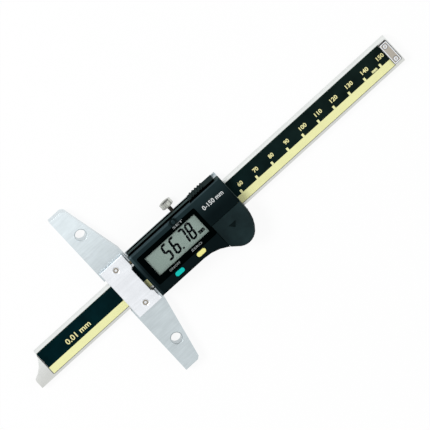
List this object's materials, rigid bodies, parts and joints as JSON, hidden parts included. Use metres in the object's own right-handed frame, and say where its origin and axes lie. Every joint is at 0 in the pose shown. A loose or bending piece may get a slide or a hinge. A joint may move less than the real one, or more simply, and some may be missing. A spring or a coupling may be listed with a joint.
{
  "type": "depth_gauge",
  "caption": "Digital depth gauge with a tapered steel base, a sliding steel beam with a scale and a black display housing with a clamp screw",
  "frame": {"origin": "centre of the back of the base, on the line through its two holes", "axes": "+X along the beam from its tip to its stop, +Y across it to the clamp screw, +Z out of the display"},
  "size_m": [0.2355, 0.1, 0.0148],
  "materials": {
    "ground_steel": "ground",
    "bright_steel": "satin",
    "dark_steel": "machined",
    "brass": "machined",
    "black_plastic": "fine moulded texture",
    "gloss_window": "polished",
    "display": "satin",
    "white_plastic": "moulded",
    "teal_plastic": "moulded",
    "cream_plastic": "moulded",
    "label_film": "printed film",
    "board": "solder mask",
    "contact_gold": "plated",
    "conductive_rubber": "matt",
    "cell_steel": "plated"
  },
  "bodies": {
    "root": {"base": "ground_steel", "base_cover": "bright_steel", "cover_pin_1": "ground_steel", "cover_pin_2": "ground_steel", "slider_frame": "ground_steel", "gib_set_screw_1": "dark_steel", "gib_set_screw_2": "dark_steel", "lower_case": "black_plastic", "front_bezel": "black_plastic", "display_window": "gloss_window", "lcd_panel": "display", "lcd_holder": "white_plastic", "zebra_connector_1": "conductive_rubber", "zebra_connector_2": "conductive_rubber", "circuit_board": "board", "processor_chip": "black_plastic", "detector_plate": "board", "switch_dome_1": "bright_steel", "switch_dome_2": "bright_steel", "switch_dome_3": "bright_steel", "battery": "cell_steel", "battery_contact_minus": "cell_steel", "battery_contact_plus": "contact_gold", "output_connector": "black_plastic", "output_contact_1": "contact_gold", "output_contact_2": "contact_gold", "output_contact_3": "contact_gold", "output_contact_4": "contact_gold", "output_contact_5": "contact_gold", "case_screw_1": "dark_steel", "case_screw_2": "dark_steel", "case_screw_3": "dark_steel", "case_screw_4": "dark_steel"},
    "beam_body": {"beam": "ground_steel", "scale_substrate": "board", "scale_label": "label_film", "stop_plate": "bright_steel", "stop_screw_1": "dark_steel", "stop_screw_2": "dark_steel"},
    "gib_body": {"gib": "brass", "clamp_pad": "brass"},
    "clamp_body": {"clamp_screw": "bright_steel"},
    "power_button_body": {"power_button": "teal_plastic"},
    "zero_button_body": {"zero_button": "cream_plastic"},
    "set_button_body": {"set_button": "black_plastic"},
    "battery_cover_body": {"battery_cover": "black_plastic"},
    "port_cover_body": {"port_cover": "black_plastic"}
  },
  "joints": [
    {"name": "beam_slide", "type": "slide", "parent": "root", "child": "beam_body", "axis": [-1, 0, 0], "range_m": [-0.05678, 0.0982]},
    {"name": "gib_press", "type": "slide", "parent": "root", "child": "gib_body", "axis": [0, -1, 0], "range_m": [0, 0.000249]},
    {"name": "clamp_turn", "type": "hinge", "parent": "gib_body", "child": "clamp_body", "pos_m": [0.0402, 0.0175, 0.00325], "axis": [0, -1, 0], "range_deg": [0, 225]},
    {"name": "power_press", "type": "slide", "parent": "root", "child": "power_button_body", "axis": [0, 0, -1], "range_m": [0, 0.0005], "stiffness_N_per_m": 400},
    {"name": "zero_press", "type": "slide", "parent": "root", "child": "zero_button_body", "axis": [0, 0, -1], "range_m": [0, 0.0005], "stiffness_N_per_m": 400},
    {"name": "set_press", "type": "slide", "parent": "root", "child": "set_button_body", "axis": [0, 0, -1], "range_m": [0, 0.0005], "stiffness_N_per_m": 400},
    {"name": "battery_cover_slide", "type": "slide", "parent": "root", "child": "battery_cover_body", "axis": [0, -1, 0], "range_m": [0, 0.02]},
    {"name": "port_cover_slide", "type": "slide", "parent": "root", "child": "port_cover_body", "axis": [1, 0, 0], "range_m": [0, 0.0175]}
  ],
  "couplings": [
    {"joint": "clamp_turn", "follows": "gib_press", "rad_per_m": 15708}
  ]
}
